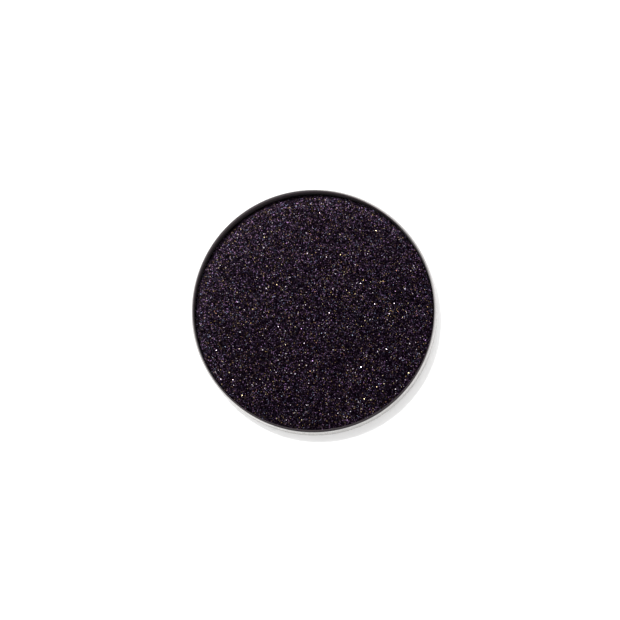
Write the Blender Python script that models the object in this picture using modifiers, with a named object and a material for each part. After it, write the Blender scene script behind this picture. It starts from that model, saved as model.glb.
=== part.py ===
"""Round refill pan of pressed eyeshadow: a drawn tinplate cup, its pressed cake and a base label.

Metres, +Z up. The origin is the centre of the pan's underside, where it stands on a table.
"""

from math import cos, pi, radians, sin

import bpy

# Driving dimensions, each set by itself
PAN_DIAMETER = 0.0260
PAN_HEIGHT = 0.0040
SHEET_THICKNESS = 0.00025
CORNER_RADIUS = 0.0008      # outside radius where the drawn wall turns into the base
FOOT_WIDTH = 0.0012         # flat ring that the pan stands on
STEP_WIDTH = 0.0012         # soft step from the foot ring up to the stamped centre panel
PANEL_RISE = 0.0005         # height of the centre panel above the foot ring
RIM_INNER_ROUND = 0.00004   # the trimmed rim is nearly sharp inside and rounds over outwards
FILL_RECESS = 0.0017        # from the pan's rim down to the pressed face
CAKE_EDGE_RADIUS = 0.00015  # the press tool's soft edge around the pressed face
LABEL_THICKNESS = 0.0001
LABEL_MARGIN = 0.0005       # bare panel left around the label

# Clearance between pieces that touch
SEAT_GAP = 0.0003

# Facets
TURN_STEPS = 96
CORNER_STEPS = 5
RIM_INNER_STEPS = 2
RIM_OUTER_STEPS = 6
STEP_STEPS = 6
AXIS_MERGE = 0.00001        # closes a turned profile where it meets the axis

# Sizes that follow
PAN_RADIUS = PAN_DIAMETER / 2
BORE_RADIUS = PAN_RADIUS - SHEET_THICKNESS
RIM_OUTER_ROUND = SHEET_THICKNESS - RIM_INNER_ROUND
RIM_CREST_RADIUS = BORE_RADIUS + RIM_INNER_ROUND
CORNER_CENTRE = PAN_RADIUS - CORNER_RADIUS
FOOT_INNER_RADIUS = CORNER_CENTRE - FOOT_WIDTH
PANEL_RADIUS = FOOT_INNER_RADIUS - STEP_WIDTH
CAKE_RADIUS = BORE_RADIUS - SEAT_GAP
CAKE_TOP = PAN_HEIGHT - FILL_RECESS
LABEL_RADIUS = PANEL_RADIUS - LABEL_MARGIN
LABEL_TOP = PANEL_RISE - SEAT_GAP


def clear_scene():
    for obj in list(bpy.data.objects):
        bpy.data.objects.remove(obj, do_unlink=True)


def new_collection(name):
    collection = bpy.data.collections.new(name)
    bpy.context.scene.collection.children.link(collection)
    return collection


def new_material(name, colour, roughness, metallic):
    material = bpy.data.materials.new(name)
    material.use_nodes = True
    shader = material.node_tree.nodes["Principled BSDF"]
    shader.inputs["Base Color"].default_value = (*colour, 1.0)
    shader.inputs["Roughness"].default_value = roughness
    shader.inputs["Metallic"].default_value = metallic
    material.diffuse_color = (*colour, 1.0)
    return material


def arc(centre_r, centre_z, radius, start, end, steps):
    """Points (r, z) along an arc; angles in degrees, 0 pointing away from the axis."""
    points = []
    for i in range(steps + 1):
        angle = radians(start + (end - start) * i / steps)
        points.append((centre_r + radius * cos(angle), centre_z + radius * sin(angle)))
    return points


def base_step(height):
    """The soft step between panel and foot ring, outwards, for a surface this high over the foot."""
    points = []
    for i in range(STEP_STEPS + 1):
        part = i / STEP_STEPS
        rise = PANEL_RISE * (1 + cos(pi * part)) / 2
        points.append((PANEL_RADIUS + STEP_WIDTH * part, height + rise))
    return points


def turned(name, profile, material, collection):
    """A solid of revolution from a profile (r, z) that starts and ends on the axis."""
    mesh = bpy.data.meshes.new(name)
    verts = [(r, 0.0, z) for r, z in profile]
    edges = [(i, i + 1) for i in range(len(verts) - 1)]
    mesh.from_pydata(verts, edges, [])
    mesh.materials.append(material)
    obj = bpy.data.objects.new(name, mesh)
    collection.objects.link(obj)
    screw = obj.modifiers.new("Turn", "SCREW")
    screw.axis = "Z"
    screw.angle = 2 * pi
    screw.steps = TURN_STEPS
    screw.render_steps = TURN_STEPS
    screw.use_merge_vertices = True
    screw.merge_threshold = AXIS_MERGE
    screw.use_smooth_shade = True
    return obj


def make_pan(collection):
    """One piece of sheet: inside floor, inside wall, trimmed rim, outside wall, base."""
    tinplate = new_material("tinplate", (0.62, 0.61, 0.61), 0.22, 1.0)
    inner_corner = CORNER_RADIUS - SHEET_THICKNESS
    inner_rim = PAN_HEIGHT - RIM_INNER_ROUND
    outer_rim = PAN_HEIGHT - RIM_OUTER_ROUND
    profile = [(0.0, PANEL_RISE + SHEET_THICKNESS)]
    profile += base_step(SHEET_THICKNESS)
    profile += arc(CORNER_CENTRE, CORNER_RADIUS, inner_corner, -90, 0, CORNER_STEPS)
    profile += arc(RIM_CREST_RADIUS, inner_rim, RIM_INNER_ROUND, 180, 90, RIM_INNER_STEPS)
    profile += arc(RIM_CREST_RADIUS, outer_rim, RIM_OUTER_ROUND, 90, 0, RIM_OUTER_STEPS)[1:]
    profile += arc(CORNER_CENTRE, CORNER_RADIUS, CORNER_RADIUS, 0, -90, CORNER_STEPS)
    profile += reversed(base_step(0.0))
    profile.append((0.0, PANEL_RISE))
    return turned("pan", profile, tinplate, collection)


def make_pressed_powder(collection):
    """The cake fills the cup up to the recess and follows the stamped floor underneath."""
    powder = new_material("pressed_powder", (0.022, 0.013, 0.022), 0.8, 0.0)
    seat = SHEET_THICKNESS + SEAT_GAP
    edge_centre = CAKE_RADIUS - CAKE_EDGE_RADIUS
    corner = CORNER_RADIUS - seat
    profile = [(0.0, CAKE_TOP)]
    profile += arc(edge_centre, CAKE_TOP - CAKE_EDGE_RADIUS, CAKE_EDGE_RADIUS, 90, 0, CORNER_STEPS)
    profile += arc(CORNER_CENTRE, CORNER_RADIUS, corner, 0, -90, CORNER_STEPS)
    profile += reversed(base_step(seat))
    profile.append((0.0, PANEL_RISE + seat))
    return turned("pressed_powder", profile, powder, collection)


def make_base_label(collection):
    """A blank round paper label under the centre panel, clear of the table."""
    paper = new_material("label_paper", (0.85, 0.84, 0.81), 0.7, 0.0)
    profile = [
        (0.0, LABEL_TOP),
        (LABEL_RADIUS, LABEL_TOP),
        (LABEL_RADIUS, LABEL_TOP - LABEL_THICKNESS),
        (0.0, LABEL_TOP - LABEL_THICKNESS),
    ]
    return turned("base_label", profile, paper, collection)


def main():
    clear_scene()
    parts = new_collection("eyeshadow_refill_pan")
    make_pan(parts)
    make_pressed_powder(parts)
    make_base_label(parts)


main()
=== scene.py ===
import math

import bpy
import numpy as np
from mathutils import Matrix, Vector


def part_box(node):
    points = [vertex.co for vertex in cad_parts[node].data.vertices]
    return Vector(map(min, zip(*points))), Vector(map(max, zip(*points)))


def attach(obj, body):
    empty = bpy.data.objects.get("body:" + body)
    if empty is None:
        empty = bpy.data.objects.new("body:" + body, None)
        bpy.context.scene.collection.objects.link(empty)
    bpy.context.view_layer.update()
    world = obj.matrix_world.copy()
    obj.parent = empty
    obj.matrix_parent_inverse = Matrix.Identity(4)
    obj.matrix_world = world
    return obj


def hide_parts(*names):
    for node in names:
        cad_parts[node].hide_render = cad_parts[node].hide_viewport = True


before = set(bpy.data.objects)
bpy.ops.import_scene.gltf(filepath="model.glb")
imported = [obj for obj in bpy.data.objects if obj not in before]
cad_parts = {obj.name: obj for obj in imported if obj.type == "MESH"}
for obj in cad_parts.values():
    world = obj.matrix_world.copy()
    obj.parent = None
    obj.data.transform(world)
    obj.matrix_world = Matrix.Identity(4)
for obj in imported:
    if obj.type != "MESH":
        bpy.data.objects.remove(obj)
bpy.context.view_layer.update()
mm = 0.001
usualNoise = (0.3, 0.7)         # most of a noise's values lie between these

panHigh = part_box("pan")[1]
panRadius = panHigh.x
rimHeight = panHigh.z
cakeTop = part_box("pressed_powder")[1].z
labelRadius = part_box("base_label")[1].x


def linear(hexColour):
    # sRGB hex to the linear values that Blender's sockets take
    values = [int(hexColour[i:i + 2], 16) / 255 for i in (1, 3, 5)]
    return [v / 12.92 if v <= 0.04045 else ((v + 0.055) / 1.055) ** 2.4 for v in values] + [1.0]


def addNode(tree, kind, inputs=None, **settings):
    made = tree.nodes.new(kind)
    for key, value in settings.items():
        setattr(made, key, value)
    for key, value in (inputs or {}).items():
        if isinstance(value, bpy.types.NodeSocket):
            tree.links.new(value, made.inputs[key])
        else:
            made.inputs[key].default_value = value
    return made


def maths(tree, operation, *values):
    return addNode(tree, "ShaderNodeMath", dict(enumerate(values)), operation=operation).outputs[0]


def vectorMaths(tree, operation, *values):
    made = addNode(tree, "ShaderNodeVectorMath", dict(enumerate(values)), operation=operation)
    return made.outputs["Value" if operation in ("DOT_PRODUCT", "LENGTH") else "Vector"]


def scaled(tree, vector, factor):
    inputs = {0: vector, "Scale": factor}
    return addNode(tree, "ShaderNodeVectorMath", inputs, operation="SCALE").outputs[0]


def rescaled(tree, value, fromLow, fromHigh, toLow=0.0, toHigh=1.0, **settings):
    # a value taken from one range to another, and kept within that one
    inputs = {"Value": value, 1: fromLow, 2: fromHigh, 3: toLow, 4: toHigh}
    return addNode(tree, "ShaderNodeMapRange", inputs, **settings).outputs[0]


def mixed(tree, share, first, second):
    return addNode(tree, "ShaderNodeMix", {0: share, 2: first, 3: second}).outputs[0]


def tinted(tree, share, first, second):
    # a mix of two colours, each an sRGB hex or a socket
    first, second = (linear(ink) if isinstance(ink, str) else ink for ink in (first, second))
    return addNode(tree, "ShaderNodeMix", {0: share, 6: first, 7: second}, data_type="RGBA").outputs[2]


def noise(tree, place, size, detail, roughness=0.5):
    inputs = {"Vector": place, "Scale": 1 / size, "Detail": detail, "Roughness": roughness}
    return addNode(tree, "ShaderNodeTexNoise", inputs).outputs


def fromAxis(tree, place):
    # how far a point lies from the pan's axis
    return vectorMaths(tree, "LENGTH", vectorMaths(tree, "MULTIPLY", place, (1, 1, 0)))


def newMaterial(name):
    # an empty material, its tree, and the place of each point of the piece
    material = bpy.data.materials.new(name)
    material.use_nodes = True
    tree = material.node_tree
    tree.nodes.clear()
    return material, tree, addNode(tree, "ShaderNodeTexCoord").outputs["Object"]


def finishMaterial(tree, inputs):
    # the shader comes last, with everything that feeds it
    shader = addNode(tree, "ShaderNodeBsdfPrincipled", inputs)
    addNode(tree, "ShaderNodeOutputMaterial", {"Surface": shader.outputs[0]})


def arc(centreR, centreZ, radius, start, end, steps):
    # points (r, z), angles in degrees, 0 pointing away from the axis
    points = []
    for i in range(steps + 1):
        angle = math.radians(start + (end - start) * i / steps)
        points.append((centreR + radius * math.cos(angle), centreZ + radius * math.sin(angle)))
    return points


def newObject(name, data):
    made = bpy.data.objects.new(name, data)
    bpy.context.scene.collection.objects.link(made)
    return made


def settle(piece):
    # the evaluated shape becomes a plain mesh and the modifiers go
    depsgraph = bpy.context.evaluated_depsgraph_get()
    mesh = bpy.data.meshes.new_from_object(piece.evaluated_get(depsgraph))
    piece.modifiers.clear()
    piece.data = mesh
    piece.data.name = piece.name


def turned(name, profile, steps):
    # lathe work: the profile starts and ends on the axis and runs down its outer side
    mesh = bpy.data.meshes.new(name)
    mesh.from_pydata([(r, 0, z) for r, z in profile], [(i, i + 1) for i in range(len(profile) - 1)], [])
    piece = newObject(name, mesh)
    screw = piece.modifiers.new("turn", "SCREW")
    screw.axis = "Z"
    screw.steps = steps
    screw.render_steps = steps
    screw.use_merge_vertices = True
    screw.merge_threshold = 0.001 * mm
    screw.use_smooth_shade = True
    settle(piece)
    return piece


def pointsOf(mesh):
    points = np.zeros(len(mesh.vertices) * 3)
    mesh.vertices.foreach_get("co", points)
    return points.reshape(-1, 3)


def meshOf(name, points, faces):
    mesh = bpy.data.meshes.new(name)
    mesh.from_pydata(points, [], faces)
    mesh.update()
    return mesh


def newTree(name, sizes, **others):
    # a geometry tree with these named sizes as inputs, and others given with their socket type
    tree = bpy.data.node_groups.new(name, "GeometryNodeTree")
    kinds = {"geometry": "NodeSocketGeometry", **dict.fromkeys(sizes, "NodeSocketFloat"), **others}
    for inputName, kind in kinds.items():
        tree.interface.new_socket(inputName, in_out="INPUT", socket_type=kind)
    tree.interface.new_socket("geometry", in_out="OUTPUT", socket_type="NodeSocketGeometry")
    return tree, addNode(tree, "NodeGroupInput").outputs


def shapeBy(tree, piece, settings):
    # runs a geometry tree on a piece, each of its inputs set from the setting of that name
    modifier = piece.modifiers.new(tree.name, "NODES")
    modifier.node_group = tree
    for socket in tree.interface.items_tree:
        if socket.name in settings:
            modifier[socket.identifier] = settings[socket.name]
    settle(piece)


def ownPiece(piece, slot, *replaced):
    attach(piece, "root")
    if replaced:
        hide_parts(*replaced)


# the drawn cup

pan = {
    "sheet": 0.25 * mm,
    "cornerRadius": 0.8 * mm,
    "footWidth": 1.2 * mm,
    "stepWidth": 1.2 * mm,
    "panelRise": 0.5 * mm,
    "rimSlope": 15,             # degrees that the trimmed edge leans outwards where it starts
    "rimLand": 0.02 * mm,       # and how wide it is before it rounds over into the wall
    "rimWave": 0.012 * mm,      # the trim isn't perfectly level
    "wallWave": 0.010 * mm,     # nor is the wall perfectly round
    "turnSteps": 360,
    "roundSteps": 12,           # in each outside round, and in the step around the panel
    "innerRoundSteps": 10,
    "wallRings": 8,
    "panelRings": 6,
    "smoothBelow": 50,          # degrees between two faces, past which their edge stays sharp
    # metal
    "lineSize": 0.1 * mm,       # draw lines; the real ones are finer, these as coarse as they need to show
    "lineStretch": 0.03,
    "lineDark": "#9e9b99",
    "lineLight": "#bab7b5",
    "bandSize": 0.9 * mm,
    "bandShare": 0.8,           # how deep bands are beside lines
    "reliefDepth": 0.006 * mm,
    "reliefStrength": 0.5,
    "mottleSize": 2.5 * mm,
    "wallRoughness": 0.09,      # the least, and what lines and mottle add to it
    "lineRoughness": 0.22,
    "mottleRoughness": 0.12,
    "trimTone": "#a9a6a5",      # the burnished trim
    "trimRoughness": 0.15,
    "trimEnd": 0.25 * mm,       # below the rim, where lines begin to show
    "linesFull": 0.6 * mm,
    # powder that clings to it, darker towards the cake and over the rim: partly powder, partly painted
    # shade
    "darkRimAxis": (-0.37, 0.93),   # in plan, the camera's axis, along which the dark tone reaches furthest over the rim
    "darkRimOver": 0.150 * mm,  # how far over the edge it reaches there
    "moreOver": (-0.030 * mm, -0.050 * mm),     # and further on one side, by this in plan
    "creep": 0.03 * mm,         # and all round
    "dustGrain": 0.12 * mm,
    "dustRagged": 0.06 * mm,
    "dustSoftness": 0.03 * mm,
    "cleanOutside": 0.02 * mm,
    "dustFrom": 0.6 * mm,       # below the cake's face, where it starts
    "dustFull": 0.3 * mm,
    "thickTo": 0.2 * mm,        # above the cake's face, up to where it is darkest: thick powder and painted shade
    "rimDustFrom": 0.01 * mm,   # past the inside wall
    "rimDustFull": 0.03 * mm,
    "rimDustAndShade": 0.8,             # how dark there, powder and painted shade, and how much the grain adds
    "grainDust": 0.5,
    "thinDust": (0.2, "#453b3e"),   # from this thick its tone changes, to that of thick dust darkened by painted shade
    "thickDustAndShade": (1.1, "#150c12"),
    "dustRoughness": 0.7,
}
boreRadius = panRadius - pan["sheet"]
cornerCentre = panRadius - pan["cornerRadius"]
footInner = cornerCentre - pan["footWidth"]
panelRadius = footInner - pan["stepWidth"]


def baseStep(height, steps):
    # the soft step from the raised panel down to the foot ring
    points = []
    for i in range(steps + 1):
        rise = pan["panelRise"] * (1 + math.cos(math.pi * i / steps)) / 2
        points.append((panelRadius + pan["stepWidth"] * i / steps, height + rise))
    return points


def makeDustAndShade(tree, place, radius, height):
    # where powder covers the metal, and its colour: a film over the inside wall, thickest low down,
    # that creeps over the rim's edge, in and out, most along the camera's axis; darker partly as painted
    # shade
    across = vectorMaths(tree, "DOT_PRODUCT", place, (*(v / panRadius for v in pan["darkRimAxis"]), 0))
    alongDarkRimAxis = maths(tree, "POWER", across, 2.0)
    over = vectorMaths(tree, "DOT_PRODUCT", place, (*(v / panRadius for v in pan["moreOver"]), 0))
    creep = maths(tree, "MULTIPLY_ADD", alongDarkRimAxis, pan["darkRimOver"], over)
    creep = maths(tree, "ADD", creep, boreRadius + pan["creep"])
    grain = noise(tree, place, pan["dustGrain"], 5.0, 0.7)[0]
    ragged = maths(tree, "MULTIPLY_ADD", grain, pan["dustRagged"], creep)

    # it stops short of the outside wall, and of the base
    ragged = maths(tree, "MINIMUM", ragged, panRadius - pan["cleanOutside"])
    least = maths(tree, "SUBTRACT", ragged, pan["dustSoftness"])
    inside = rescaled(tree, height, cakeTop - pan["dustFrom"], cakeTop - pan["dustFull"])
    cover = rescaled(tree, radius, ragged, least, 0.0, inside)

    # painted shade: the tone darkens down the inside wall and over the rim, along with thicker powder
    low = rescaled(tree, height, rimHeight, cakeTop + pan["thickTo"])
    onRim = rescaled(tree, radius, boreRadius + pan["rimDustFrom"], boreRadius + pan["rimDustFull"],
                     0.0, pan["rimDustAndShade"])
    dustAndShade = maths(tree, "ADD", maths(tree, "MULTIPLY_ADD", grain, pan["grainDust"], low), onRim)
    thinAt, thinTone = pan["thinDust"]
    thickAt, thickTone = pan["thickDustAndShade"]
    return cover, tinted(tree, rescaled(tree, dustAndShade, thinAt, thickAt), thinTone, thickTone)


def makeTinplate():
    # Tin-plated mild steel, deep drawn: bright grey, satin, with fine lines up the wall where the sheet
    # slid over the die. They smear reflections sideways. Powder from the press clings inside.
    material, tree, place = newMaterial("tinplate_deep_drawn")
    radius = fromAxis(tree, place)
    height = addNode(tree, "ShaderNodeSeparateXYZ", {0: place}).outputs["Z"]
    stretch = {"Vector": place, "Scale": (1, 1, pan["lineStretch"])}
    upright = addNode(tree, "ShaderNodeMapping", stretch).outputs[0]
    lines = noise(tree, upright, pan["lineSize"], 3.0, 0.65)[0]
    bands = noise(tree, upright, pan["bandSize"], 2.0)[0]
    mottle = noise(tree, place, pan["mottleSize"], 4.0, 0.6)[0]
    gloss = maths(tree, "MULTIPLY_ADD", lines, pan["lineRoughness"], pan["wallRoughness"])
    gloss = maths(tree, "MULTIPLY_ADD", mottle, pan["mottleRoughness"], gloss)
    metal = tinted(tree, rescaled(tree, lines, *usualNoise), pan["lineDark"], pan["lineLight"])

    # the trimmed edge is burnished, so the lines stop below it
    wall = rescaled(tree, height, rimHeight - pan["trimEnd"], rimHeight - pan["linesFull"])
    gloss = mixed(tree, wall, pan["trimRoughness"], gloss)
    metal = tinted(tree, wall, pan["trimTone"], metal)
    bump = addNode(tree, "ShaderNodeBump", {
        "Strength": maths(tree, "MULTIPLY", wall, pan["reliefStrength"]),
        "Distance": pan["reliefDepth"],
        "Height": maths(tree, "MULTIPLY_ADD", bands, pan["bandShare"], lines),
    })

    cover, film = makeDustAndShade(tree, place, radius, height)
    finishMaterial(tree, {
        "Base Color": tinted(tree, cover, metal, film),
        "Metallic": maths(tree, "SUBTRACT", 1.0, cover),
        "Roughness": mixed(tree, cover, gloss, pan["dustRoughness"]),
        "Normal": bump.outputs[0],
    })
    return material


def makePan():
    sheet = pan["sheet"]
    corner = pan["cornerRadius"]
    slope = math.radians(pan["rimSlope"])
    outerRound = (sheet - pan["rimLand"]) / (1 - math.sin(slope))
    landEnd = rimHeight - pan["rimLand"] * math.tan(slope)
    steps = pan["roundSteps"]
    panelRings = [panelRadius * i / pan["panelRings"] for i in range(1, pan["panelRings"])]
    wallRings = [corner + (rimHeight - corner) * i / pan["wallRings"] for i in range(1, pan["wallRings"])]
    profile = [(0, pan["panelRise"] + sheet)]
    profile += [(r, pan["panelRise"] + sheet) for r in panelRings]
    profile += baseStep(sheet, steps)
    profile += arc(cornerCentre, corner, corner - sheet, -90, 0, pan["innerRoundSteps"])
    profile += [(boreRadius, z) for z in wallRings]
    profile.append((boreRadius, rimHeight))
    profile += arc(panRadius - outerRound, landEnd - outerRound * math.cos(slope), outerRound,
                   90 - pan["rimSlope"], 0, steps)
    profile += [(panRadius, z) for z in reversed(wallRings)]
    profile += arc(cornerCentre, corner, corner, 0, -90, steps)
    profile += reversed(baseStep(0, steps))
    profile += [(r, pan["panelRise"]) for r in reversed(panelRings)]
    profile.append((0, pan["panelRise"]))
    piece = turned("refill_pan", profile, pan["turnSteps"])

    # the rim dips and the wall draws in by hundredths of a millimetre, never outside its round
    mesh = piece.data
    points = pointsOf(mesh)
    angle = np.arctan2(points[:, 1], points[:, 0])
    share = np.clip((points[:, 2] - corner) / (rimHeight - corner), 0, 1)
    dip = (2 + np.sin(2 * angle + 0.6) + 0.6 * np.sin(5 * angle + 2.1) - 0.4 * np.sin(9 * angle)) / 4
    pull = (2 + np.sin(3 * angle + 1.1) + 0.5 * np.sin(7 * angle + 0.3)) / 3.5
    points[:, 2] -= pan["rimWave"] * dip * share ** 2
    points[:, :2] *= (1 - pan["wallWave"] / panRadius * pull * share)[:, None]
    mesh.vertices.foreach_set("co", points.ravel())
    mesh.update()
    mesh.set_sharp_from_angle(angle=math.radians(pan["smoothBelow"]))
    mesh.materials.append(makeTinplate())
    ownPiece(piece, "tinplate", "pan")


makePan()
print("pan drawn")


# the pressed cake

cake = {
    "rings": 150,               # 0.085 mm between rings, finer than the grain
    "jitter": 0.22,             # share of that
    "jitterSeed": 11,
    "wallClearance": 0.09 * mm,     # shrinks off the wall as it sets
    "floorClearance": 0.02 * mm,
    "cornerLift": 0.01 * mm,
    "shoulder": 0.10 * mm,      # soft edge where the press tool stops short of the wall
    "shoulderSteps": 5,
    "cornerSteps": 4,
    "footSteps": 5,
    # the pressed face
    "grainSize": 0.16 * mm,
    "grainHeight": 0.030 * mm,
    "swellSize": 1.9 * mm,      # slow unevenness
    "swellHeight": 0.020 * mm,
    "pitSize": 0.42 * mm,
    "pitDepth": 0.022 * mm,
    "pitReach": 0.3,            # share of its cell that a pit takes up
    "edgeWidth": 0.35 * mm,
    "edgeDrop": 0.06 * mm,
    "edgeRagged": 0.09 * mm,
    "reliefDepth": 0.35 * mm,   # what lies further below the face keeps its shape
    # powder
    "ground": "#020003",
    # each layer's grain size, its seed, the albedo of a middling grain before its tint, the spread
    "fine": (0.085 * mm, 2.4, 0.00142, 1.7),
    "coarse": (0.12 * mm, 7.9, 0.0003, 1.5),
    # where each tint starts, of all the grains taken in order, and the tint
    "tints": ((0.0, "#c89fd8"), (0.36, "#d0a0cc"), (0.56, "#d6b68e"), (0.73, "#a8aed8"), (0.88, "#c4aecc")),
    "oddsCap": 1.05,            # nearer to 1, the brightest grains are brighter
    "shakeSize": 0.2 * mm,
    "shake": 0.08 * mm,
    "gritSize": 0.09 * mm,
    "gritDepth": 0.03 * mm,
    "gritStrength": 0.8,
    # painted light: the powder is lighter towards the side the light comes from, and in a ring along the
    # edge
    "richSide": (-0.33, 0.63),  # towards the lit side, in plan: weights for x and y, both in radii
    "richFrom": -0.5,           # the weighed sum where it starts, and where it is full
    "richTo": 0.7,
    "plain": 0.78,              # how much pearl there is, and the painted light that the lit side adds
    "richGain": 1.1,
    "edgeGain": 0.6,            # painted light that the ring along the edge adds, everywhere and on the lit side
    "richEdgeGain": 8.0,
    "edgePower": 16.0,
    "bareFrom": 0.966,          # shares of the radius, where painted shade darkens the shoulder at the wall
    "bareTo": 0.984,
    "bare": 0.93,               # how dark that painted shade gets, most of all on the lit side
}
cakeRadius = boreRadius - cake["wallClearance"]


def cakeMesh():
    # a disc of rings, ring k holding 6k points, then rings down the side and under the foot
    rings = cake["rings"]
    spacing = (cakeRadius - cake["shoulder"]) / rings
    random = np.random.default_rng(cake["jitterSeed"])
    points = [(0.0, 0.0, cakeTop)]
    faces = []
    start = [0]
    for k in range(1, rings + 1):
        start.append(len(points))
        jitter = 0.0 if k == rings else cake["jitter"] * spacing
        for j in range(6 * k):
            angle = 2 * math.pi * j / (6 * k)
            dx, dy = random.uniform(-jitter, jitter, 2) if jitter else (0.0, 0.0)
            points.append((spacing * k * math.cos(angle) + dx, spacing * k * math.sin(angle) + dy, cakeTop))
        inner, outer = start[k - 1], start[k]
        innerCount, outerCount = max(1, 6 * (k - 1)), 6 * k
        for side in range(6):
            for j in range(k):
                o0 = outer + (side * k + j) % outerCount
                o1 = outer + (side * k + j + 1) % outerCount
                i0 = inner + (side * (k - 1) + j) % innerCount
                faces.append((i0, o0, o1))
                if j < k - 1:
                    i1 = inner + (side * (k - 1) + j + 1) % innerCount
                    faces.append((i0, o1, i1))

    shoulder = cake["shoulder"]
    seat = pan["sheet"] + cake["floorClearance"]
    corner = pan["cornerRadius"] - pan["sheet"] - cake["wallClearance"]
    profile = arc(cakeRadius - shoulder, cakeTop - shoulder, shoulder, 90, 0, cake["shoulderSteps"])[1:]
    profile += arc(cornerCentre, pan["cornerRadius"] + cake["cornerLift"], corner, 0, -90,
                   cake["cornerSteps"])
    profile += reversed(baseStep(seat, cake["footSteps"]))
    count = 6 * rings
    last = start[-1]
    for r, z in profile:
        first = len(points)
        for j in range(count):
            angle = 2 * math.pi * j / count
            points.append((r * math.cos(angle), r * math.sin(angle), z))
            faces.append((last + j, first + j, first + (j + 1) % count, last + (j + 1) % count))
        last = first
    points.append((0.0, 0.0, pan["panelRise"] + seat))
    for j in range(count):
        faces.append((last + j, len(points) - 1, last + (j + 1) % count))
    return meshOf("powder_cake", points, faces)


def makeReliefTree():
    # raises and lowers the pressed face: grain, slow swell, small pits, and a ragged soft edge
    tree, given = newTree("pressed_face_relief", (
        "faceHeight", "radius", "grainSize", "grainHeight", "swellSize", "swellHeight", "pitSize",
        "pitDepth", "edgeWidth", "edgeDrop", "edgeRagged", "reliefDepth"))
    place = addNode(tree, "GeometryNodeInputPosition").outputs[0]
    split = addNode(tree, "ShaderNodeSeparateXYZ", {0: place}).outputs
    flat = addNode(tree, "ShaderNodeCombineXYZ", {"X": split[0], "Y": split[1]}).outputs[0]

    def wave(size, detail, seed):
        # noise about zero
        scale = maths(tree, "DIVIDE", 1.0, size)
        inputs = {"Vector": flat, "W": seed, "Scale": scale, "Detail": detail, "Roughness": 0.6}
        made = addNode(tree, "ShaderNodeTexNoise", inputs, noise_dimensions="4D")
        return maths(tree, "SUBTRACT", made.outputs[0], 0.5)

    grain = maths(tree, "MULTIPLY", wave(given["grainSize"], 2.0, 1.3), given["grainHeight"])
    swell = wave(given["swellSize"], 1.0, 4.7)
    swell = maths(tree, "MULTIPLY_ADD", swell, given["swellHeight"], grain)
    pitScale = maths(tree, "DIVIDE", 1.0, given["pitSize"])
    cells = addNode(tree, "ShaderNodeTexVoronoi", {"Vector": flat, "Scale": pitScale},
                    voronoi_dimensions="3D")
    pits = rescaled(tree, cells.outputs["Distance"], 0.0, cake["pitReach"], 1.0, 0.0)
    face = maths(tree, "SUBTRACT", swell, maths(tree, "MULTIPLY", pits, given["pitDepth"]))

    edgeStart = maths(tree, "SUBTRACT", given["radius"], given["edgeWidth"])
    edge = rescaled(tree, vectorMaths(tree, "LENGTH", flat), edgeStart, given["radius"],
                    interpolation_type="SMOOTHSTEP")
    ragged = wave(given["swellSize"], 6.0, 8.2)
    ragged = maths(tree, "MULTIPLY_ADD", ragged, given["edgeRagged"], given["edgeDrop"])
    lift = maths(tree, "SUBTRACT", face, maths(tree, "MULTIPLY", edge, ragged))

    under = maths(tree, "SUBTRACT", given["faceHeight"], given["reliefDepth"])
    onFace = rescaled(tree, split[2], under, given["faceHeight"], interpolation_type="SMOOTHSTEP")
    offset = addNode(tree, "ShaderNodeCombineXYZ", {"Z": maths(tree, "MULTIPLY", lift, onFace)})
    moved = addNode(tree, "GeometryNodeSetPosition",
                    {"Geometry": given["geometry"], "Offset": offset.outputs[0]})
    addNode(tree, "NodeGroupOutput", {0: moved.outputs[0]})
    return tree


def makePearl(tree, place, size, seed, middle, spread):
    # one layer of pearl grains, each with its own tint. Its tone follows the odds of a random number:
    # a long tail of bright grains over many dim ones
    cells = addNode(tree, "ShaderNodeTexVoronoi", {"Vector": place, "W": seed, "Scale": 1 / size},
                    voronoi_dimensions="4D")
    picks = addNode(tree, "ShaderNodeSeparateColor", {0: cells.outputs["Color"]}).outputs
    tints = addNode(tree, "ShaderNodeValToRGB", {0: picks[0]})
    ramp = tints.color_ramp
    ramp.interpolation = "CONSTANT"
    for at, shade in cake["tints"]:
        stop = ramp.elements[0] if at == 0.0 else ramp.elements.new(at)
        stop.position = at
        stop.color = linear(shade)
    ramp.elements.remove(ramp.elements[-1])
    odds = maths(tree, "DIVIDE", picks[1], maths(tree, "SUBTRACT", cake["oddsCap"], picks[1]))
    level = maths(tree, "MULTIPLY", maths(tree, "POWER", odds, spread), middle)
    return scaled(tree, tints.outputs[0], level)


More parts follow.
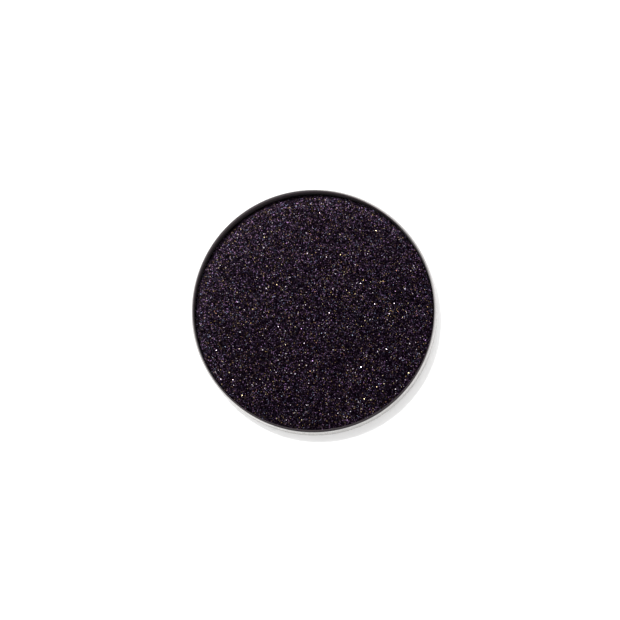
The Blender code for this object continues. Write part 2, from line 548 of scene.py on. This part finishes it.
def makePowderMaterial():
    # Pressed mineral powder, black-purple pigment in talc and mica: dead matte, no mirror gloss. Each
    # pearl grain has its own tone, most of them dim and a few bright, so the eye reads dark felt
    # strewn with faint coloured points.
    material, tree, place = newMaterial("pressed_pearl_powder")
    wobble = noise(tree, place, cake["shakeSize"], 1.0)["Color"]
    shaken = vectorMaths(tree, "MULTIPLY_ADD", wobble, (cake["shake"],) * 3, place)
    fine = makePearl(tree, shaken, *cake["fine"])
    coarse = makePearl(tree, shaken, *cake["coarse"])
    pearl = vectorMaths(tree, "ADD", fine, coarse)

    # painted light: lighter towards the side the light comes from, most of all in a ring at the edge there
    towardLight = vectorMaths(tree, "DOT_PRODUCT", place, (*(v / cakeRadius for v in cake["richSide"]), 0))
    side = maths(tree, "POWER", rescaled(tree, towardLight, cake["richFrom"], cake["richTo"]), 2.0)
    reach = maths(tree, "DIVIDE", fromAxis(tree, place), cakeRadius)
    edge = maths(tree, "POWER", reach, cake["edgePower"])
    paintedEdgeLight = maths(tree, "MULTIPLY_ADD", side, cake["richEdgeGain"], cake["edgeGain"])
    paintedLight = maths(tree, "MULTIPLY_ADD", side, cake["richGain"], cake["plain"])
    paintedLight = maths(tree, "MULTIPLY_ADD", edge, paintedEdgeLight, paintedLight)

    # painted shade: the shoulder at the wall is darkened, most of all on the lit side, as the wall's shadow
    bare = rescaled(tree, reach, cake["bareFrom"], cake["bareTo"], 0.0, cake["bare"])
    unshaded = maths(tree, "SUBTRACT", 1.0, maths(tree, "MULTIPLY", bare, side))
    pearl = scaled(tree, pearl, maths(tree, "MULTIPLY", paintedLight, unshaded))
    grit = noise(tree, place, cake["gritSize"], 4.0, 0.75)[0]
    bump = addNode(tree, "ShaderNodeBump",
                   {"Strength": cake["gritStrength"], "Distance": cake["gritDepth"], "Height": grit})
    finishMaterial(tree, {
        "Base Color": vectorMaths(tree, "ADD", pearl, linear(cake["ground"])[:3]),
        "Roughness": 0.9,
        "Specular IOR Level": 0.004,
        "Normal": bump.outputs[0],
    })
    return material


def makeCake():
    piece = newObject("powder_cake", cakeMesh())
    shapeBy(makeReliefTree(), piece, {**cake, "faceHeight": cakeTop, "radius": cakeRadius})
    piece.data.shade_smooth()
    piece.data.materials.append(makePowderMaterial())
    ownPiece(piece, "pressed_powder", "pressed_powder")
    return piece


def pressedFace():
    # the top of the cake alone, as the bed that flakes and crumbs lie on
    source = powderCake.data
    count = 1 + 3 * cake["rings"] * (cake["rings"] + 1)
    onTop = [tuple(f.vertices) for f in source.polygons if max(f.vertices) < count]
    triangles = [corners for corners in onTop if len(corners) == 3]
    return meshOf("pressed_face", pointsOf(source)[:count].tolist(), triangles)


powderCake = makeCake()
faceBed = pressedFace()
print("cake pressed,", len(powderCake.data.polygons), "faces")


# what both scatters share

def scatter(tree, given, radial, limit, density):
    # points on the bed, within a distance from the axis
    within = addNode(tree, "FunctionNodeCompare", {0: radial, 1: limit},
                     data_type="FLOAT", operation="LESS_THAN").outputs[0]
    bed = {"Mesh": given["geometry"], "Selection": within, "Density": density, "Seed": given["seed"]}
    return addNode(tree, "GeometryNodeDistributePointsOnFaces", bed).outputs["Points"]


def randomNumber(tree, low, high, seed):
    inputs = {2: low, 3: high, "Seed": seed}
    return addNode(tree, "FunctionNodeRandomValue", inputs, data_type="FLOAT").outputs[1]


def randomVector(tree, low, high, seed=0):
    inputs = {0: low, 1: high, "Seed": seed}
    return addNode(tree, "FunctionNodeRandomValue", inputs, data_type="FLOAT_VECTOR").outputs[0]


def layOn(tree, points, shape, rotation, scale):
    # a copy of a shape on each point, all made real
    inputs = {"Points": points, "Instance": shape.outputs["Mesh"], "Rotation": rotation, "Scale": scale}
    laid = addNode(tree, "GeometryNodeInstanceOnPoints", inputs)
    return addNode(tree, "GeometryNodeRealizeInstances", {0: laid.outputs[0]}).outputs[0]


def finishTree(tree, given, geometry):
    done = addNode(tree, "GeometryNodeSetMaterial", {"Geometry": geometry, "Material": given["finish"]})
    addNode(tree, "NodeGroupOutput", {0: done.outputs[0]})


# glitter

glitter = {
    "clearOfEdge": 0.30 * mm,
    "corners": 6,
    "thickness": 0.12,          # share of a flake's width
    "lift": 0.006 * mm,
    "patchSize": 0.4 * mm,      # tone and gloss change over this distance
    "darkTone": "#2a1f2b",
    "darkest": 0.35,            # the least share of a film's own colour
    "roughest": 0.38,
    "smoothest": 0.25,
    # film colour, flakes per square mm, smallest and largest width in mm, tilt in degrees, seed
    "kinds": {
        "glitter_gold": ("#a88c55", 1.7, 0.05, 0.09, 38, 3),
        "glitter_violet": ("#a078ae", 2.0, 0.05, 0.09, 38, 5),
        "glitter_steel": ("#8a98ac", 1.5, 0.05, 0.09, 38, 8),
        "glitter_copper": ("#a87860", 0.6, 0.05, 0.09, 38, 13),
        "glitter_white": ("#f0e4ee", 0.8, 0.07, 0.11, 30, 21),
        "glitter_pale_gold": ("#f2dfb0", 0.4, 0.07, 0.11, 30, 34),
    },
}


def makeFlakeTree():
    # lays small closed hexagonal plates on the pressed face, each turned and tilted its own way
    tree, given = newTree("flake_scatter", (
        "density", "reach", "smallest", "largest", "tilt", "thickness", "lift"),
        seed="NodeSocketInt", finish="NodeSocketMaterial")
    place = addNode(tree, "GeometryNodeInputPosition").outputs[0]
    points = scatter(tree, given, fromAxis(tree, place), given["reach"], given["density"])
    raised = addNode(tree, "ShaderNodeCombineXYZ", {"Z": given["lift"]}).outputs[0]
    points = addNode(tree, "GeometryNodeSetPosition", {"Geometry": points, "Offset": raised}).outputs[0]
    plate = addNode(tree, "GeometryNodeMeshCylinder",
                    {"Vertices": glitter["corners"], "Radius": 0.5, "Depth": given["thickness"]})
    tilt = given["tilt"]
    back = maths(tree, "MULTIPLY", tilt, -1.0)
    low = addNode(tree, "ShaderNodeCombineXYZ", {"X": back, "Y": back}).outputs[0]
    high = addNode(tree, "ShaderNodeCombineXYZ", {"X": tilt, "Y": tilt, "Z": 2 * math.pi}).outputs[0]
    turn = randomVector(tree, low, high, given["seed"])
    width = randomNumber(tree, given["smallest"], given["largest"], given["seed"])
    finishTree(tree, given, layOn(tree, points, plate, turn, width))
    return tree


def makeFilmMaterial(name, shade):
    # Cut metallised film: a thin bright foil in clear lacquer, so each flake is a small tinted mirror
    # that flashes or goes dark as it turns. Tone changes a little from flake to flake.
    material, tree, place = newMaterial(name + "_metallised_film")
    patch = noise(tree, place, glitter["patchSize"], 2.0)[0]
    tone = rescaled(tree, patch, *usualNoise, glitter["darkest"], 1.0)
    finishMaterial(tree, {
        "Base Color": tinted(tree, tone, glitter["darkTone"], shade),
        "Metallic": 1.0,
        "Roughness": rescaled(tree, patch, *usualNoise, glitter["roughest"], glitter["smoothest"]),
    })
    return material


def makeGlitter():
    tree = makeFlakeTree()
    for name, (shade, density, smallest, largest, tilt, seed) in glitter["kinds"].items():
        piece = newObject(name, faceBed.copy())
        shapeBy(tree, piece, {
            "density": density / mm ** 2,
            "reach": cakeRadius - glitter["clearOfEdge"],
            "smallest": smallest * mm,
            "largest": largest * mm,
            "tilt": math.radians(tilt),
            "thickness": glitter["thickness"],
            "lift": glitter["lift"],
            "seed": seed,
            "finish": makeFilmMaterial(name, shade),
        })
        ownPiece(piece, "pressed_powder")
        print(name, len(piece.data.vertices) // (2 * glitter["corners"]), "flakes")


makeGlitter()


# crumbs

crumbs = {
    "clearOfEdge": 0.08 * mm,
    "ringWidth": 0.50 * mm,
    "ringDensity": 5.0 / mm ** 2,   # along the foot of the wall
    "faceDensity": 0.10 / mm ** 2,
    "smallest": 0.03 * mm,
    "largest": 0.11 * mm,
    "seed": 31,
    "pointsEach": 42,           # in the lump that each one starts as
    "squattest": (0.6, 0.6, 0.5),
    "roundest": (1.0, 1.0, 0.9),
    "shoveSize": 0.05 * mm,
    "shove": 0.04 * mm,
}
rimCrumbs = {
    "from": 232,                # the near side, towards the camera, in degrees; crumbs there also darken the rim as painted shade
    "to": 336,
    "steps": 104,
    "inset": 0.06 * mm,         # where the strip runs, from the inside wall and below the rim
    "insetDrop": 0.07 * mm,
    "outset": 0.07 * mm,        # and from the outside wall
    "outsetDrop": 0.13 * mm,
    "ringDensity": 46.0 / mm ** 2,
    "faceDensity": 46.0 / mm ** 2,
    "smallest": 0.025 * mm,
    "largest": 0.07 * mm,
    "seed": 12,
}


def makeCrumbTree():
    # broken bits of the cake: lumps of a few dozen faces, each pushed out of round
    tree, given = newTree("crumb_scatter", (
        "innerRadius", "outerRadius", "ringDensity", "faceDensity", "smallest", "largest"),
        seed="NodeSocketInt", finish="NodeSocketMaterial")
    place = addNode(tree, "GeometryNodeInputPosition").outputs[0]
    radial = fromAxis(tree, place)
    density = rescaled(tree, radial, given["innerRadius"], given["outerRadius"],
                       given["faceDensity"], given["ringDensity"])
    points = scatter(tree, given, radial, given["outerRadius"], density)
    lump = addNode(tree, "GeometryNodeMeshIcoSphere", {"Radius": 0.5, "Subdivisions": 2})
    turn = randomVector(tree, (0, 0, 0), (2 * math.pi,) * 3, given["seed"])
    width = randomNumber(tree, given["smallest"], given["largest"], given["seed"])
    squat = randomVector(tree, crumbs["squattest"], crumbs["roundest"])
    lumps = layOn(tree, points, lump, turn, scaled(tree, squat, width))
    shove = noise(tree, place, crumbs["shoveSize"], 1.0)["Color"]
    shove = vectorMaths(tree, "SUBTRACT", shove, (0.5, 0.5, 0.5))
    shove = vectorMaths(tree, "MULTIPLY", shove, (crumbs["shove"],) * 3)
    rough = addNode(tree, "GeometryNodeSetPosition", {"Geometry": lumps, "Offset": shove})
    finishTree(tree, given, rough.outputs[0])
    return tree


def scatterCrumbs(name, tree, bed, inner, outer, settings):
    piece = newObject(name, bed)
    finish = powderCake.data.materials[0]
    shapeBy(tree, piece, {**settings, "innerRadius": inner, "outerRadius": outer, "finish": finish})
    ownPiece(piece, "pressed_powder")
    print(name, len(piece.data.vertices) // crumbs["pointsEach"])


def rimStrip():
    # the outward slope of the trimmed edge, where powder crumbs catch
    edges = ((boreRadius + rimCrumbs["inset"], rimHeight - rimCrumbs["insetDrop"]),
             (panRadius - rimCrumbs["outset"], rimHeight - rimCrumbs["outsetDrop"]))
    span = rimCrumbs["to"] - rimCrumbs["from"]
    points = []
    faces = []
    for i in range(rimCrumbs["steps"] + 1):
        angle = math.radians(rimCrumbs["from"] + span * i / rimCrumbs["steps"])
        points += [(r * math.cos(angle), r * math.sin(angle), z) for r, z in edges]
        if i:
            faces.append((2 * i - 2, 2 * i - 1, 2 * i + 1, 2 * i))
    return meshOf("rim_strip", points, faces)


crumbTree = makeCrumbTree()
faceLimit = cakeRadius - crumbs["clearOfEdge"]
scatterCrumbs("powder_crumbs", crumbTree, faceBed, faceLimit - crumbs["ringWidth"], faceLimit, crumbs)
# real crumbs on the near side of the rim, put there also as painted shade to darken it
scatterCrumbs("rim_crumbs", crumbTree, rimStrip(), 0.0, panRadius, rimCrumbs)


# the base label

label = {
    "thickness": 0.09 * mm,
    "glueGap": 0.015 * mm,
    "edgeRound": 0.02 * mm,
    "turnSteps": 180,
    "edgeSteps": 4,
    "rings": 8,
    "fibreSize": 0.12 * mm,
    "fibreTurn": 0.5,           # radians, in plan
    "fibreStretch": 0.25,
    "fibreDepth": 0.01 * mm,
    "fibreStrength": 0.4,
    "fibreShare": 0.6,          # of the tone, beside the cloud
    "cloudSize": 1.6 * mm,
    "dark": (0.5, "#dcd9d1"),
    "light": (1.1, "#f1efe9"),
    "smoothest": 0.75,
    "roughest": 0.9,
}


def makePaperMaterial():
    # Uncoated label paper: soft white, matte, with short fibres that catch a little light.
    material, tree, place = newMaterial("uncoated_label_paper")
    pulled = addNode(tree, "ShaderNodeMapping", {
        "Vector": place,
        "Rotation": (0, 0, label["fibreTurn"]),
        "Scale": (1, label["fibreStretch"], 1),
    }).outputs[0]
    fibre = noise(tree, pulled, label["fibreSize"], 4.0, 0.6)[0]
    cloud = noise(tree, place, label["cloudSize"], 3.0)[0]
    mottle = maths(tree, "MULTIPLY_ADD", fibre, label["fibreShare"], cloud)
    darkAt, darkTone = label["dark"]
    lightAt, lightTone = label["light"]
    bump = addNode(tree, "ShaderNodeBump",
                   {"Strength": label["fibreStrength"], "Distance": label["fibreDepth"], "Height": fibre})
    finishMaterial(tree, {
        "Base Color": tinted(tree, rescaled(tree, mottle, darkAt, lightAt), darkTone, lightTone),
        "Roughness": rescaled(tree, fibre, 0.0, 1.0, label["smoothest"], label["roughest"]),
        "Normal": bump.outputs[0],
    })
    return material


def makeLabel():
    top = pan["panelRise"] - label["glueGap"]
    bottom = top - label["thickness"]
    edge = label["edgeRound"]
    steps = label["edgeSteps"]
    rings = [labelRadius * i / label["rings"] for i in range(1, label["rings"])]
    profile = [(0, top)] + [(r, top) for r in rings]
    profile += arc(labelRadius - edge, top - edge, edge, 90, 0, steps)
    profile += arc(labelRadius - edge, bottom + edge, edge, 0, -90, steps)
    profile += [(r, bottom) for r in reversed(rings)] + [(0, bottom)]
    piece = turned("paper_label", profile, label["turnSteps"])
    piece.data.materials.append(makePaperMaterial())
    ownPiece(piece, "label_paper", "base_label")


makeLabel()
print("label stuck on")


# floor, light, camera

studio = {
    "floorSize": 6.0,
    "floorTone": "#f4f4f4",
    "keyStrength": 1.35,
    "keySpread": 2.5,           # degrees across, for a crisp shadow edge
    "keyTilt": 12.5,            # degrees from straight down
    "keySide": 125.0,           # azimuth the key comes from, 0 along +X
    "boxStrength": 1.4,
    "boxSpread": 70.0,          # degrees across, a broad soft source
    "boxTilt": 40.0,
    "boxSide": 115.0,
    "fill": 1.18,               # what the room gives back to matte surfaces
    "walls": 1.3,               # what polished ones see of it low down: white walls
    "wallTop": 35.0,            # degrees up, where the walls begin to darken
    "ceiling": 0.008,           # and overhead: a black ceiling
    "ceilingEdge": 55.0,
}
camera = {
    "distance": 0.35,
    "frameWidth": 65.6 * mm,    # what the frame spans at the rim
    "sensor": 36.0,
    "tilt": 8.0,                # degrees off straight down
    "side": -68.0,              # azimuth the camera leans towards
    "rimOffset": (0.374 * mm, -0.024 * mm),
    "near": 0.01,
    "far": 50,
}


def direction(azimuth, elevation):
    a, e = math.radians(azimuth), math.radians(elevation)
    return Vector((math.cos(a) * math.cos(e), math.sin(a) * math.cos(e), math.sin(e)))


def makeFloor():
    # a matte white sweep that burns out in the light
    half = studio["floorSize"] / 2
    corners = [(-half, -half, 0), (half, -half, 0), (half, half, 0), (-half, half, 0)]
    floor = newObject("floor", meshOf("floor", corners, [(0, 1, 2, 3)]))
    material, tree = newMaterial("white_sweep")[:2]
    tone = linear(studio["floorTone"])
    finishMaterial(tree, {"Base Color": tone, "Roughness": 0.9, "Specular IOR Level": 0.1})
    floor.data.materials.append(material)


def makeLights():
    for name in ("key", "box"):
        light = bpy.data.lights.new(name, "SUN")
        light.energy = studio[name + "Strength"]
        light.angle = math.radians(studio[name + "Spread"])
        lamp = newObject(name, light)
        toward = direction(studio[name + "Side"], 90 - studio[name + "Tilt"])
        lamp.rotation_mode = "QUATERNION"
        lamp.rotation_quaternion = toward.to_track_quat("Z", "Y")


def makeRoom():
    # white to the camera, even to matte surfaces, and to polished ones white walls with a black ceiling
    world = bpy.data.worlds.new("studio")
    world.use_nodes = True
    tree = world.node_tree
    tree.nodes.clear()
    ray = addNode(tree, "ShaderNodeLightPath").outputs
    look = addNode(tree, "ShaderNodeTexCoord").outputs["Generated"]
    rise = addNode(tree, "ShaderNodeSeparateXYZ", {0: look}).outputs["Z"]
    wallTop = math.sin(math.radians(studio["wallTop"]))
    ceilingEdge = math.sin(math.radians(studio["ceilingEdge"]))
    room = rescaled(tree, rise, wallTop, ceilingEdge, studio["walls"], studio["ceiling"])
    level = mixed(tree, ray["Is Glossy Ray"], studio["fill"], room)
    seen = mixed(tree, ray["Is Camera Ray"], level, 1.0)
    sky = addNode(tree, "ShaderNodeBackground", {"Color": (1, 1, 1, 1), "Strength": seen})
    addNode(tree, "ShaderNodeOutputWorld", {0: sky.outputs[0]})
    bpy.context.scene.world = world


def makeCamera():
    data = bpy.data.cameras.new("camera")
    data.sensor_width = camera["sensor"]
    data.lens = camera["sensor"] * camera["distance"] / camera["frameWidth"]
    data.clip_start = camera["near"]
    data.clip_end = camera["far"]
    eye = newObject("camera", data)
    back = direction(camera["side"], 90 - camera["tilt"])
    target = Vector((-camera["rimOffset"][0], -camera["rimOffset"][1], rimHeight))
    eye.location = target + back * camera["distance"]
    right = Vector((0, 1, 0)).cross(back).normalized()
    up = back.cross(right)
    eye.rotation_mode = "QUATERNION"
    eye.rotation_quaternion = Matrix((right, up, back)).transposed().to_quaternion()
    bpy.context.scene.camera = eye


makeFloor()
makeLights()
makeRoom()
makeCamera()
bpy.context.scene.view_settings.view_transform = "Standard"
print("studio set")
